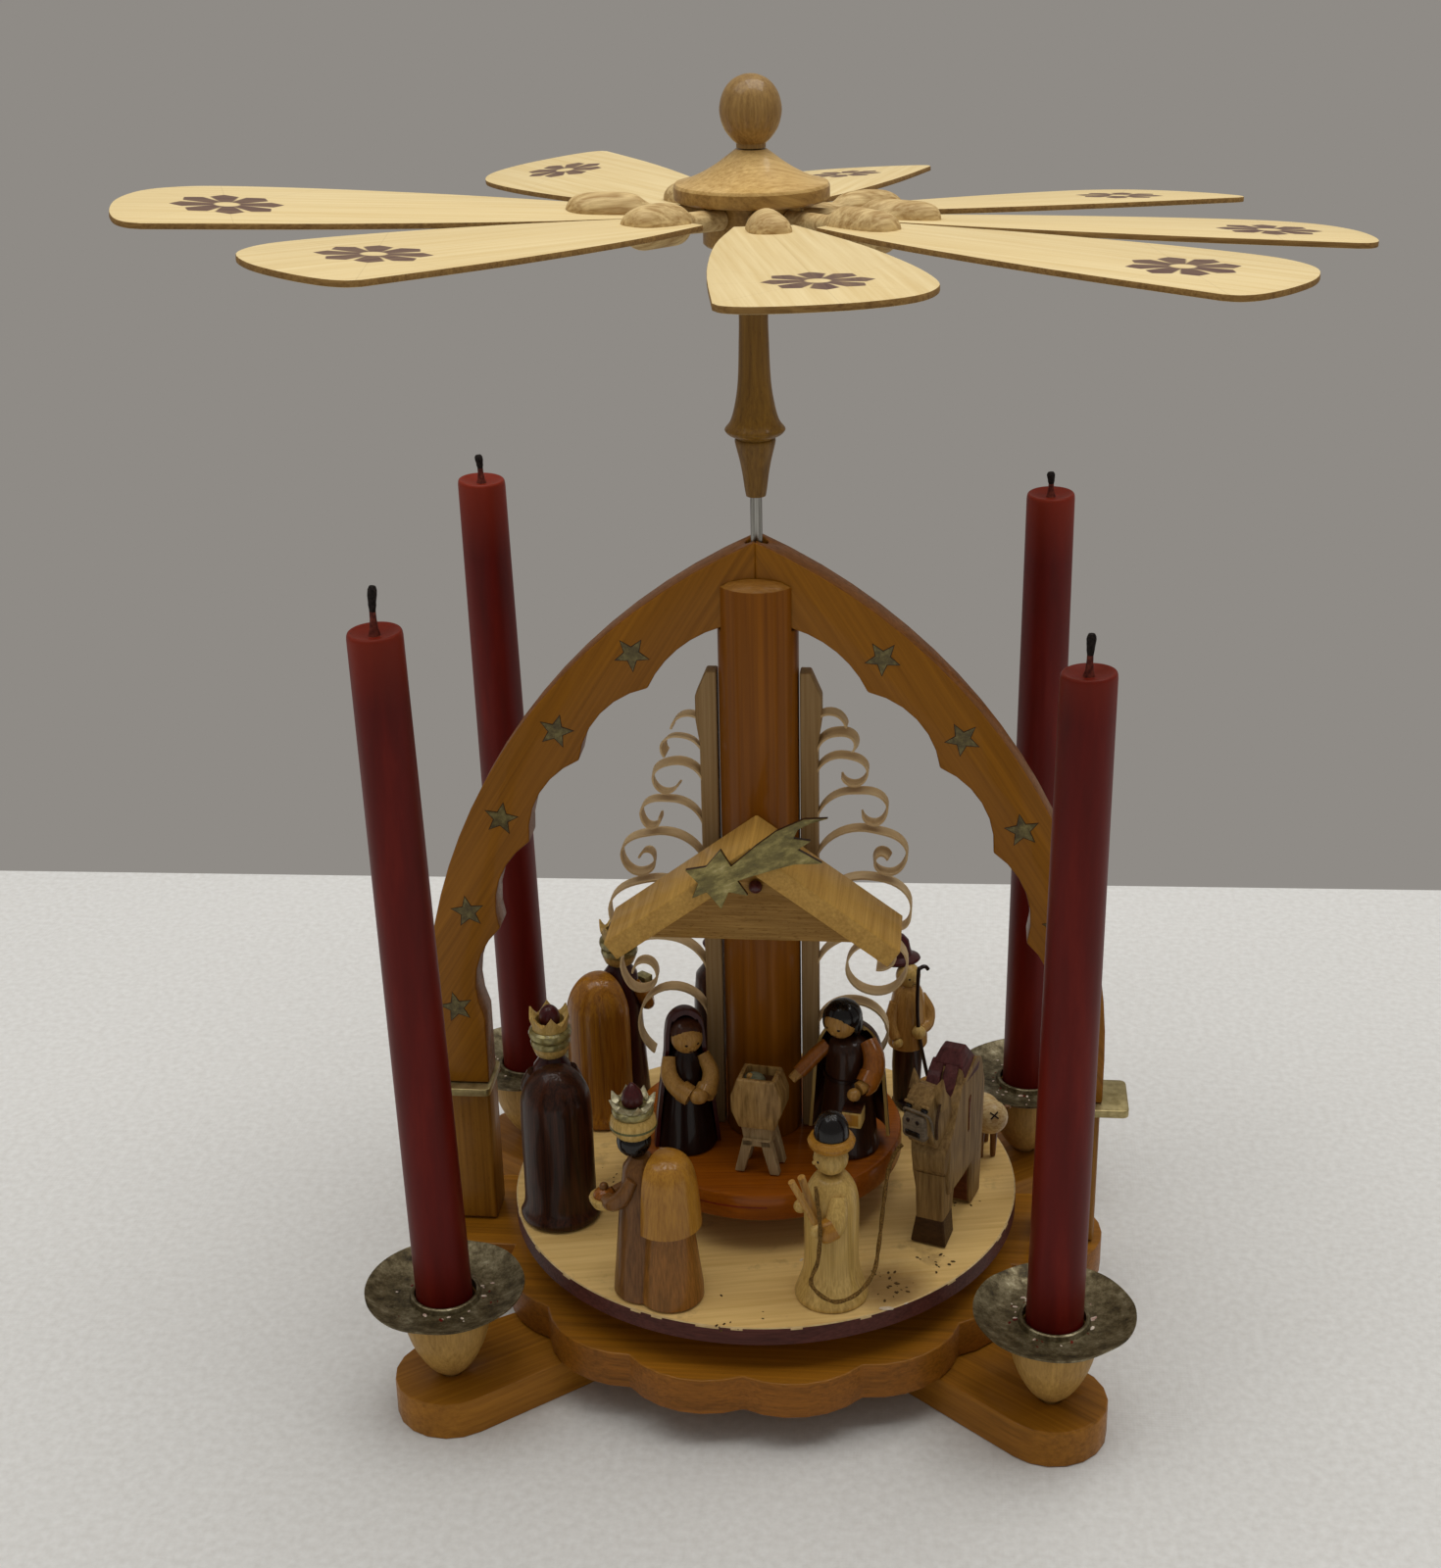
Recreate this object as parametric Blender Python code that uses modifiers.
"""Christmas pyramid: a pointed arch on a cross of two boards carries a fixed stage with a
stable, while candle heat turns a blade wheel and, through a steel rod, the turntable below.

Metres, +Z up. The origin is the centre of the base on the ground, the front faces -Y.
"""
import math

import bmesh
import bpy
from mathutils import Matrix, Vector

# Clearances
GAP = 0.0003
ROD_PLAY = 0.0010

# Base cross and scalloped plate
ARM_THICK = 0.0110
ARM_END_RADIUS = 0.0150
ARM_WAIST = 0.0186
CANDLE_X = 0.0797
CANDLE_Y = 0.0604
BACK_RIGHT_INSET = 0.0042
PLATE_THICK = 0.0107
PLATE_CUSP_RADIUS = 0.0720
PLATE_LOBE_RISE = 0.0057
PLATE_LOBES = 6
EAR_WIDTH = 0.0356
EAR_REACH = 0.0957

# Posts, capping plates and pointed arch
LEG_INNER_X = 0.0772
POST_WIDTH = 0.0158
POST_DEPTH = 0.0120
POST_HEIGHT = 0.0417
CAPPING_LENGTH = 0.0242
CAPPING_WIDTH = 0.0170
CAPPING_THICK = 0.0023
CAPPING_LAP = 0.0007
ARCH_DEPTH = 0.0100
ARCH_LEG_WIDTH = 0.0163
ARCH_LEG_HEIGHT = 0.0133
ARCH_RADIUS = 0.1600
ARCH_BAND = 0.0178
ARCH_SCALLOPS = 5
SCALLOP_FIRST_ANGLE = 3.1
SCALLOP_STEP_ANGLE = 11.25
SCALLOP_RISE = 0.0044
CROWN_RISE = 0.0183

# Rod, bearing, turntable and stage
ROD_RADIUS = 0.0015
ROD_LENGTH = 0.2350
ROD_POINT = 0.0025
BEARING_RADIUS = 0.0050
BEARING_HEIGHT = 0.0050
BEARING_SPIGOT_RADIUS = 0.0030
BEARING_SPIGOT = 0.0040
TURNTABLE_RADIUS = 0.0709
TURNTABLE_THICK = 0.0055
TURNTABLE_LIFT = 0.0087
STAGE_RADIUS = 0.0385
STAGE_THICK = 0.0080
STAGE_LIFT = 0.0106

# Column with its curled shavings
COLUMN_RADIUS = 0.0105
COLUMN_CHEEK = 0.0123
COLUMN_SHOULDER = 0.0026
COLUMN_TENON_RADIUS = 0.0060
COLUMN_TENON = 0.0050
STRIP_WIDTH = 0.0047
STRIP_TOP_WIDTH = 0.0057
STRIP_DEPTH = 0.0050
STRIP_HEIGHT = 0.1350
CURL_THICK = 0.0007

# Stable roof, gable, comet and peg
ROOF_THICK = 0.0057
ROOF_RIDGE = 0.0990
ROOF_SLOPE = 36.3
ROOF_HALF_SPAN = 0.0384
ROOF_LENGTH = 0.0210
GABLE_DEPTH = 0.0060
GABLE_SILL = 0.0333
PEG_RADIUS = 0.0018
PEG_HEIGHT = 0.0160
PEG_SHANK_RADIUS = 0.0010
COMET_THICK = 0.0015
COMET_LENGTH = 0.0363

# Candle cups, drip pans and candles
CUP_HEIGHT = 0.0227
CUP_RADIUS = 0.0117
CUP_BORE_RADIUS = 0.0081
CUP_BORE_DEPTH = 0.0137
CUP_TENON_RADIUS = 0.0025
CUP_TENON = 0.0060
PAN_RADIUS = 0.0210
PAN_HEIGHT = 0.0040
PAN_SHEET = 0.0008
PAN_COLLAR = 0.0016
CANDLE_RADIUS = 0.0075
CANDLE_TOP_RADIUS = 0.0066
CANDLE_LENGTH_FRONT_LEFT = 0.1995
CANDLE_LENGTH_FRONT_RIGHT = 0.1925
CANDLE_LENGTH_BACK_RIGHT = 0.2005
CANDLE_LENGTH_BACK_LEFT = 0.2028
WICK_RADIUS = 0.0008
WICK_LENGTH_FRONT_LEFT = 0.0110
WICK_LENGTH_FRONT_RIGHT = 0.0092
WICK_LENGTH_BACK_RIGHT = 0.0060
WICK_LENGTH_BACK_LEFT = 0.0070

# Blade wheel
SPINDLE_LENGTH = 0.0616
SPINDLE_BEAD_RADIUS = 0.00755
SPINDLE_TIP_RADIUS = 0.0025
SPINDLE_SOCKET = 0.0240
SPINDLE_TENON_RADIUS = 0.0032
SPINDLE_TENON = 0.0045
HUB_DRUM_RADIUS = 0.0118
HUB_DRUM_HEIGHT = 0.0107
HUB_RIM_RADIUS = 0.0186
HUB_RIM_THICK = 0.0037
HUB_CAP_HEIGHT = 0.0079
HUB_BLADE_HEIGHT = 0.0066
FINIAL_RADIUS = 0.00735
FINIAL_HEIGHT = 0.0167
FINIAL_NECK_RADIUS = 0.0035
FINIAL_TENON_RADIUS = 0.0020
FINIAL_TENON = 0.0045
WHEEL_PLACES = 9
WHEEL_FIRST_AZIMUTH = 1.0
WHEEL_LEAN = 3.7
WHEEL_LOW_AZIMUTH = 60.0
HOLE_SWINGS = (0.0, 0.0, 1.5, 0.0, 0.0, 0.0, -3.6, 0.0, 0.0)
HOLE_RISES = (0.0, 0.0, 0.0, 0.0, 0.0, 1.2, 0.0, 0.0, 0.0)
PIN_RADIUS = 0.0016
PIN_START = 0.0065
NECK_RADIUS = 0.0025
KNUCKLE_START = 0.0260
KNUCKLE_LENGTH = 0.0190
KNUCKLE_RADIUS = 0.0050
BLADE_START = 0.0272
BLADE_LENGTH = 0.1248
BLADE_WIDTH = 0.0440
BLADE_THICK = 0.0014

# Figures: height and foot radius of each, and how far in from the turntable's rim it stands
KING_HEIGHT = 0.0622
KING_RADIUS = 0.0080
KING_LEFT_INSET = 0.0119
KING_BACK_INSET = 0.0112
KING_LEFT_OPENING = 0.0012
KING_BACK_OPENING = 0.0034
GIFT_WIDTH = 0.0044
GIFT_DEPTH = 0.0036
CAPE_HEIGHT = 0.0466
CAPE_RADIUS = 0.0102
CAPE_THICK = 0.0014
CAPE_SETBACK = 0.0060
BACK_KING_SETBACK = 0.0090
MOOR_HEIGHT = 0.0615
MOOR_RADIUS = 0.0086
MOOR_INSET = 0.0097
MOOR_SKIRT_AHEAD = 0.0040
MOOR_HEAD_AHEAD = 0.0058
MOOR_CAPE_SETBACK = 0.0032
BOWL_RADIUS = 0.0040
MOOR_TRAIN_SETBACK = 0.0078
SHOULDER_CAPE_LENGTH = 0.0205
SHOULDER_CAPE_RADIUS = 0.0088
SERVANT_INSET = 0.0137
LEADER_HEIGHT = 0.0546
LEADER_RADIUS = 0.0098
LEADER_INSET = 0.0127
STICK_RADIUS = 0.0009
SHEPHERD_HEIGHT = 0.0540
SHEPHERD_RADIUS = 0.0062
SHEPHERD_INSET = 0.0129
STAFF_RADIUS = 0.0006
CAMEL_HEIGHT = 0.0533
CAMEL_LENGTH = 0.0345
CAMEL_THICK = 0.0110
CAMEL_INSET = 0.0169
SHEEP_HEIGHT = 0.0196
SHEEP_LENGTH = 0.0150
SHEEP_THICK = 0.0075
SHEEP_INSET = 0.0064
MARY_HEIGHT = 0.0420
MARY_RADIUS = 0.0093
MARY_FROM_COLUMN = 0.0135
JOSEPH_HEIGHT = 0.0460
JOSEPH_RADIUS = 0.0092
JOSEPH_FROM_COLUMN = 0.0159
LANTERN_WIDTH = 0.0053
LANTERN_HEIGHT = 0.0052
LANTERN_LIFT = 0.0138
CRIB_HEIGHT = 0.0320
CRIB_WIDTH = 0.0144
CRIB_DEPTH = 0.0100
CRIB_FROM_COLUMN = 0.0075
CRIB_WALL = 0.0012
ROPE_RADIUS = 0.00055

# Facets round one turn
FINE = 40
ROUND = 18
SMALL = 12

# Heights that follow from the sizes above
PLATE_TOP = ARM_THICK + GAP + PLATE_THICK
POST_TOP = PLATE_TOP + GAP + POST_HEIGHT
CAPPING_TOP = POST_TOP + GAP + CAPPING_THICK
ARCH_FOOT = CAPPING_TOP + GAP
ARCH_SPRING = ARCH_FOOT + ARCH_LEG_HEIGHT
ARCH_CENTRE_X = LEG_INNER_X + ARCH_LEG_WIDTH - ARCH_RADIUS
TURNTABLE_TOP = PLATE_TOP + TURNTABLE_LIFT + TURNTABLE_THICK
STAGE_BOTTOM = TURNTABLE_TOP + STAGE_LIFT
STAGE_TOP = STAGE_BOTTOM + STAGE_THICK
BEARING_TOP = PLATE_TOP + GAP + BEARING_HEIGHT
ROD_TIP = BEARING_TOP - ROD_POINT + GAP
ROD_TOP = ROD_TIP + ROD_LENGTH
SPINDLE_BOTTOM = ROD_TOP + GAP - SPINDLE_SOCKET
SPINDLE_TOP = SPINDLE_BOTTOM + SPINDLE_LENGTH
HUB_BOTTOM = SPINDLE_TOP + GAP
HUB_RIM_BOTTOM = HUB_BOTTOM + HUB_DRUM_HEIGHT
HUB_TOP = HUB_RIM_BOTTOM + HUB_RIM_THICK + HUB_CAP_HEIGHT
BLADE_LEVEL = HUB_BOTTOM + HUB_BLADE_HEIGHT
CUP_TOP = ARM_THICK + GAP + CUP_HEIGHT
ROOF_FRONT = -(COLUMN_RADIUS + GAP) - ROOF_LENGTH
MM = 0.001


# Scene and helpers

def empty_scene():
    """Remove what the scene holds."""
    for item in list(bpy.data.objects):
        bpy.data.objects.remove(item, do_unlink=True)


def new_collection(name):
    collection = bpy.data.collections.new(name)
    bpy.context.scene.collection.children.link(collection)
    return collection


def linear(hex_colour):
    """Turn an sRGB hex colour into linear RGBA."""
    channels = [int(hex_colour[i:i + 2], 16) / 255 for i in (1, 3, 5)]
    return [c / 12.92 if c < 0.04045 else ((c + 0.055) / 1.055) ** 2.4 for c in channels] + [1.0]


def material(name):
    """Make or find the material of that name in FINISHES."""
    found = bpy.data.materials.get(name)
    if found:
        return found
    colour, roughness, metallic = FINISHES[name]
    made = bpy.data.materials.new(name)
    made.use_nodes = True
    shader = made.node_tree.nodes["Principled BSDF"]
    shader.inputs["Base Color"].default_value = linear(colour)
    shader.inputs["Roughness"].default_value = roughness
    shader.inputs["Metallic"].default_value = metallic
    made.diffuse_color = linear(colour)
    return made


def add_object(name, mesh, finish, parent=None, tool=False):
    """Link a mesh object, as a part or as a hidden tool."""
    made = bpy.data.objects.new(name, mesh)
    (TOOLS if tool else PARTS).objects.link(made)
    if tool:
        made.hide_render = True
        made.display_type = "WIRE"
    else:
        mesh.materials.append(material(finish))
    if parent:
        made.parent = parent
    return made


def empty(name, place, turn=Matrix.Identity(4), parent=None):
    """A guide frame that pieces are parented to."""
    made = bpy.data.objects.new(name, None)
    PARTS.objects.link(made)
    made.empty_display_size = 0.01
    made.parent = parent
    made.matrix_basis = Matrix.Translation(place) @ turn
    return made


def baked(source, turn=Matrix.Identity(4)):
    """Mesh of an object with its modifiers or curve settings applied."""
    PARTS.objects.link(source)
    graph = bpy.context.evaluated_depsgraph_get()
    mesh = bpy.data.meshes.new_from_object(source.evaluated_get(graph))
    data = source.data
    bpy.data.objects.remove(source)
    if isinstance(data, bpy.types.Mesh):
        bpy.data.meshes.remove(data)
    else:
        bpy.data.curves.remove(data)
    cleaned = bmesh.new()
    cleaned.from_mesh(mesh)
    bmesh.ops.remove_doubles(cleaned, verts=cleaned.verts, dist=0.000001)
    bmesh.ops.transform(cleaned, matrix=turn, verts=cleaned.verts)
    bmesh.ops.recalc_face_normals(cleaned, faces=cleaned.faces)
    cleaned.to_mesh(mesh)
    cleaned.free()
    mesh.materials.clear()
    mesh.shade_smooth()
    mesh.set_sharp_from_angle(angle=math.radians(35))
    return mesh


def turned_mesh(profile, segments, ring=False, turn=Matrix.Identity(4)):
    """Solid of revolution about Z. The profile runs down its outer side; a ring is closed."""
    mesh = bpy.data.meshes.new("profile")
    count = len(profile)
    edges = [(i, i + 1) for i in range(count - 1)] + ([(count - 1, 0)] if ring else [])
    mesh.from_pydata([(r, 0.0, z) for r, z in profile], edges, [])
    source = bpy.data.objects.new("profile", mesh)
    screw = source.modifiers.new("turn", "SCREW")
    screw.axis = "Z"
    screw.steps = segments
    screw.render_steps = segments
    screw.use_merge_vertices = True
    screw.merge_threshold = 0.000005
    return baked(source, turn)


def turned(name, profile, segments, finish, parent=None, ring=False, turn=Matrix.Identity(4),
           tool=False):
    return add_object(name, turned_mesh(profile, segments, ring, turn), finish, parent, tool)


def prism_mesh(outlines, low, high, upright=False, turn=Matrix.Identity(4)):
    """Flat outline with holes, extruded from low to high along Z, or along Y when upright."""
    curve = bpy.data.curves.new("outline", "CURVE")
    curve.dimensions = "2D"
    curve.fill_mode = "BOTH"
    curve.extrude = (high - low) / 2
    for outline in outlines:
        spline = curve.splines.new("POLY")
        spline.points.add(len(outline) - 1)
        for point, (x, y) in zip(spline.points, outline):
            point.co = (x, y, 0.0, 1.0)
        spline.use_cyclic_u = True
    lift = Matrix.Translation((0, 0, (low + high) / 2))
    if upright:
        lift = Matrix.Translation((0, (low + high) / 2, 0)) @ Matrix.Rotation(math.pi / 2, 4, "X")
    return baked(bpy.data.objects.new("outline", curve), turn @ lift)


def prism(name, outlines, low, high, finish, upright=False, parent=None, tool=False):
    return add_object(name, prism_mesh(outlines, low, high, upright), finish, parent, tool)


def primitive(kind, turn=Matrix.Identity(4), **sizes):
    """Mesh of one bmesh primitive, moved by turn."""
    shape = bmesh.new()
    kind(shape, matrix=turn, **sizes)
    mesh = bpy.data.meshes.new("primitive")
    shape.to_mesh(mesh)
    shape.free()
    return mesh


def rod_between(start, end, start_radius, end_radius, segments=12):
    """Tapered round bar from one point to another."""
    start, end = Vector(start), Vector(end)
    direction = end - start
    turn = direction.to_track_quat("Z", "Y").to_matrix().to_4x4()
    return primitive(bmesh.ops.create_cone, Matrix.Translation((start + end) / 2) @ turn,
                     cap_ends=True, segments=segments, radius1=start_radius,
                     radius2=end_radius, depth=direction.length)


def ball(centre, radius, stretch=(1, 1, 1), segments=12):
    turn = Matrix.Translation(centre) @ Matrix.Diagonal((*stretch, 1))
    return primitive(bmesh.ops.create_uvsphere, turn, u_segments=segments,
                     v_segments=segments // 2 + 1, radius=radius)


def block(low, high):
    """Box between two opposite corners."""
    low, high = Vector(low), Vector(high)
    turn = Matrix.Translation((low + high) / 2) @ Matrix.Diagonal((*(high - low), 1))
    return primitive(bmesh.ops.create_cube, turn, size=1.0)


def combine(target, mesh, operation, name):
    """Cut or join a mesh, given in the target's own frame, with a Boolean modifier."""
    tool = add_object(name, mesh, None, tool=True)
    tool.parent = target.parent
    tool.matrix_basis = target.matrix_basis.copy()
    modifier = target.modifiers.new(name, "BOOLEAN")
    modifier.operation = operation
    modifier.object = tool
    modifier.solver = "EXACT"


def cut(target, mesh, name):
    combine(target, mesh, "DIFFERENCE", name)


def join(target, mesh, name):
    combine(target, mesh, "UNION", name)


def soften(target, width, segments=1):
    bevel = target.modifiers.new("edges", "BEVEL")
    bevel.width = width
    bevel.segments = segments
    bevel.limit_method = "ANGLE"


def arc(centre, radius, first, last, steps):
    """Points along an arc, angles in degrees, both ends included."""
    points = []
    for i in range(steps + 1):
        angle = math.radians(first + (last - first) * i / steps)
        points.append((centre[0] + radius * math.cos(angle), centre[1] + radius * math.sin(angle)))
    return points


def bulge(start, end, rise, steps):
    """Points along the arc from start to end that rises to the right of that direction."""
    start, end = Vector(start), Vector(end)
    chord = end - start
    radius = chord.length ** 2 / (8 * rise) + rise / 2
    outward = Vector((chord.y, -chord.x)).normalized()
    centre = (start + end) / 2 - outward * (radius - rise)
    first = math.degrees(math.atan2(start.y - centre.y, start.x - centre.x))
    last = math.degrees(math.atan2(end.y - centre.y, end.x - centre.x))
    while last < first:
        last += 360
    return arc(centre, radius, first, last, steps)


def smooth(points, steps):
    """Catmull-Rom curve through an open row of points of any dimension."""
    points = [Vector(p) for p in points]
    row = [2 * points[0] - points[1]] + points + [2 * points[-1] - points[-2]]
    result = []
    for a, b, c, d in zip(row, row[1:], row[2:], row[3:]):
        for i in range(steps):
            t = i / steps
            result.append(0.5 * (2 * b + (c - a) * t + (2 * a - 5 * b + 4 * c - d) * t * t
                                 + (3 * b - a - 3 * c + d) * t ** 3))
    return result + [points[-1]]


def scaled(profile, radius, height, base=0.0):
    """Turn fractions (radius, height) into a profile in metres that stands on base."""
    return [(r * radius, base + z * height) for r, z in profile]


def mirrored(outline):
    return [(-x, y) for x, y in reversed(outline)]


def turn_z(degrees):
    return Matrix.Rotation(math.radians(degrees), 4, "Z")


FINISHES = {
    "honey_wood": ("#B07A3C", 0.45, 0.0),
    "pale_birch": ("#DCC08A", 0.55, 0.0),
    "beech": ("#C79A5E", 0.50, 0.0),
    "larch": ("#8E5E2A", 0.45, 0.0),
    "shaving": ("#B99766", 0.60, 0.0),
    "orange_wood": ("#A8642A", 0.40, 0.0),
    "brass": ("#8B7A45", 0.40, 1.0),
    "steel": ("#9A9A98", 0.30, 1.0),
    "gold_green": ("#8C8A4A", 0.40, 0.3),
    "red_wax": ("#7E1512", 0.35, 0.0),
    "plum_stain": ("#4A2328", 0.45, 0.0),
    "dark_stain": ("#3A2218", 0.40, 0.0),
    "brown_stain": ("#7A5634", 0.50, 0.0),
    "ochre_stain": ("#A6702E", 0.45, 0.0),
    "pale_figure": ("#CBB083", 0.50, 0.0),
    "grey_wood": ("#9C8460", 0.60, 0.0),
    "twine": ("#8A6A3E", 0.90, 0.0),
}


# Places of the four candles, one on each arm of the cross
CANDLE_PLACES = {
    "front_left": (-CANDLE_X, -CANDLE_Y),
    "front_right": (CANDLE_X, -CANDLE_Y),
    "back_right": (CANDLE_X - BACK_RIGHT_INSET, CANDLE_Y),
    "back_left": (-CANDLE_X, CANDLE_Y),
}
CANDLE_LENGTHS = {
    "front_left": CANDLE_LENGTH_FRONT_LEFT,
    "front_right": CANDLE_LENGTH_FRONT_RIGHT,
    "back_right": CANDLE_LENGTH_BACK_RIGHT,
    "back_left": CANDLE_LENGTH_BACK_LEFT,
}
WICK_LENGTHS = {
    "front_left": WICK_LENGTH_FRONT_LEFT,
    "front_right": WICK_LENGTH_FRONT_RIGHT,
    "back_right": WICK_LENGTH_BACK_RIGHT,
    "back_left": WICK_LENGTH_BACK_LEFT,
}
# How far each candle leans sideways at its top, as a share of its length
CANDLE_LEANS = {"front_left": -0.020, "front_right": 0.006, "back_right": 0.002, "back_left": -0.016}


# Base

def board_outline(first, second, grow=0.0):
    """Arm board through the origin: round ends at two places, narrow at the waist."""
    outline = []
    waist = ARM_WAIST / 2 + grow
    end = ARM_END_RADIUS + grow
    for place in (first, second):
        reach = math.hypot(*place)
        heading = math.degrees(math.atan2(place[1], place[0]))
        taper = math.degrees(math.asin((end - waist) / reach))
        outline += arc(place, end, heading - 90 - taper, heading + 90 + taper, 10)
        side = math.radians(heading + 90)
        outline.append((waist * math.cos(side), waist * math.sin(side)))
    return outline


def build_arms():
    """Two boards, half-lapped where they cross, with a hole under each candle cup."""
    places = CANDLE_PLACES
    rising = (places["front_left"], places["back_right"])
    falling = (places["front_right"], places["back_left"])
    middle = ARM_THICK / 2
    lower = prism("arm_board_lower", [board_outline(*rising)], 0.0, ARM_THICK, "honey_wood")
    upper = prism("arm_board_upper", [board_outline(*falling)], 0.0, ARM_THICK, "honey_wood")
    cut(lower, prism_mesh([board_outline(*falling, GAP)], middle - GAP / 2, ARM_THICK + 0.01),
        "lap_from_above")
    cut(upper, prism_mesh([board_outline(*rising, GAP)], -0.01, middle + GAP / 2), "lap_from_below")
    depth = CUP_TENON + GAP
    for board, ends in ((lower, rising), (upper, falling)):
        for x, y in ends:
            hole = rod_between((x, y, ARM_THICK - depth), (x, y, ARM_THICK + 0.01),
                               bored(CUP_TENON_RADIUS), bored(CUP_TENON_RADIUS))
            cut(board, hole, "cup_hole")


def bored(radius, segments=12, room=GAP):
    """Radius of a faceted hole whose flats stay clear of a round pin."""
    return (radius + room) / math.cos(math.pi / segments)


def build_plate():
    """Scalloped plate with an ear on each side for the post."""
    junction = math.degrees(math.asin(EAR_WIDTH / 2 / PLATE_CUSP_RADIUS))
    sweep = (180 - 2 * junction) / PLATE_LOBES
    outline = []
    for side in (0, 180):
        for lobe in range(PLATE_LOBES):
            start = math.radians(side + junction + lobe * sweep)
            end = math.radians(side + junction + (lobe + 1) * sweep)
            cusps = [(PLATE_CUSP_RADIUS * math.cos(a), PLATE_CUSP_RADIUS * math.sin(a))
                     for a in (start, end)]
            outline += bulge(*cusps, PLATE_LOBE_RISE, 6)[:-1]
        ear_x = (EAR_REACH - EAR_WIDTH / 2) * math.cos(math.radians(side + 180))
        outline.append((PLATE_CUSP_RADIUS * math.cos(math.radians(side + 180 - junction)),
                        PLATE_CUSP_RADIUS * math.sin(math.radians(side + 180 - junction))))
        outline += arc((ear_x, 0), EAR_WIDTH / 2, side + 91, side + 269, 12)
    plate = prism("scalloped_plate", [outline], ARM_THICK + GAP, PLATE_TOP, "honey_wood")
    spigot = bored(BEARING_SPIGOT_RADIUS, SMALL)
    cut(plate, rod_between((0, 0, PLATE_TOP - BEARING_SPIGOT - GAP), (0, 0, PLATE_TOP + 0.01),
                           spigot, spigot, SMALL), "bearing_hole")


def build_bearing():
    """Cupped thrust bearing that the rod's point stands in."""
    rim = BEARING_RADIUS * 0.84
    profile = [(0, BEARING_TOP - ROD_POINT), (ROD_POINT, BEARING_TOP), (rim, BEARING_TOP),
               (BEARING_RADIUS, BEARING_TOP - BEARING_RADIUS + rim),
               (BEARING_RADIUS, PLATE_TOP + GAP), (BEARING_SPIGOT_RADIUS, PLATE_TOP + GAP),
               (BEARING_SPIGOT_RADIUS, PLATE_TOP - BEARING_SPIGOT), (0, PLATE_TOP - BEARING_SPIGOT)]
    turned("thrust_bearing", profile, ROUND, "brass")


def build_posts():
    """A post on each ear with a brass capping plate that the arch stands on."""
    for side, word in ((-1, "left"), (1, "right")):
        inner, outer = side * LEG_INNER_X, side * (LEG_INNER_X + POST_WIDTH)
        post = add_object("post_" + word, block(
            (min(inner, outer), -POST_DEPTH / 2, PLATE_TOP + GAP),
            (max(inner, outer), POST_DEPTH / 2, POST_TOP)), "beech")
        soften(post, 0.0006)
        start = LEG_INNER_X - CAPPING_LAP
        middle = side * (start + CAPPING_LENGTH / 2)
        corner = CAPPING_WIDTH * 0.1
        outline = []
        for quarter, (dx, dy) in enumerate(((1, 1), (-1, 1), (-1, -1), (1, -1))):
            centre = (middle + dx * (CAPPING_LENGTH / 2 - corner), dy * (CAPPING_WIDTH / 2 - corner))
            outline += arc(centre, corner, quarter * 90, quarter * 90 + 90, 3)
        prism("capping_plate_" + word, [outline], POST_TOP + GAP, CAPPING_TOP, "brass")


# Arch

def arch_cusps():
    """Inner cusps from the leg up to the crown, on the right half."""
    centre = Vector((ARCH_CENTRE_X, ARCH_SPRING))
    radius = ARCH_RADIUS - ARCH_BAND
    cusps = []
    for k in range(ARCH_SCALLOPS):
        angle = math.radians(SCALLOP_FIRST_ANGLE + SCALLOP_STEP_ANGLE * k)
        cusps.append(centre + radius * Vector((math.cos(angle), math.sin(angle))))
    cusps[0].x = LEG_INNER_X
    return cusps


def crown_arc():
    """Centre height and radius of the scallop under the arch's point."""
    last = arch_cusps()[-1]
    radius = (last.x ** 2 + CROWN_RISE ** 2) / (2 * CROWN_RISE)
    return last.y + CROWN_RISE - radius, radius


def arch_outline():
    """Right half of the pointed arch, cut off at the mitre seam."""
    seam = GAP / 2
    outer_x = LEG_INNER_X + ARCH_LEG_WIDTH
    apex = math.degrees(math.acos((seam - ARCH_CENTRE_X) / ARCH_RADIUS))
    outline = [(LEG_INNER_X, ARCH_FOOT), (outer_x, ARCH_FOOT)]
    outline += arc((ARCH_CENTRE_X, ARCH_SPRING), ARCH_RADIUS, 0, apex, 20)
    level, radius = crown_arc()
    cusps = arch_cusps()
    top = math.degrees(math.acos(seam / radius))
    end = math.degrees(math.atan2(cusps[-1].y - level, cusps[-1].x))
    outline += arc((0, level), radius, top, end, 8)
    for upper, lower in zip(cusps[::-1], cusps[-2::-1]):
        outline += list(reversed(bulge(lower, upper, SCALLOP_RISE, 6)))[1:]
    return outline


def build_arch():
    """Two mitred halves, bored at the seam for the rod."""
    outline = arch_outline()
    for word, shape in (("left", mirrored(outline)), ("right", outline)):
        half = prism("arch_" + word, [shape], -ARCH_DEPTH / 2, ARCH_DEPTH / 2, "honey_wood", True)
        top = ARCH_SPRING + ARCH_RADIUS
        hole = 2 * ROD_RADIUS
        cut(half, rod_between((0, 0, ARCH_SPRING), (0, 0, top), hole, hole, SMALL), "rod_hole")


# Rod and discs

def build_rod():
    profile = [(0, ROD_TOP), (ROD_RADIUS, ROD_TOP), (ROD_RADIUS, ROD_TIP + ROD_POINT), (0, ROD_TIP)]
    turned("rotor_rod", profile, SMALL, "steel")


def disc_profile(radius, bottom, top, bore, edge):
    return [(radius - edge, top), (radius, top - edge), (radius, bottom + edge),
            (radius - edge, bottom), (bore, bottom), (bore, top)]


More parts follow.
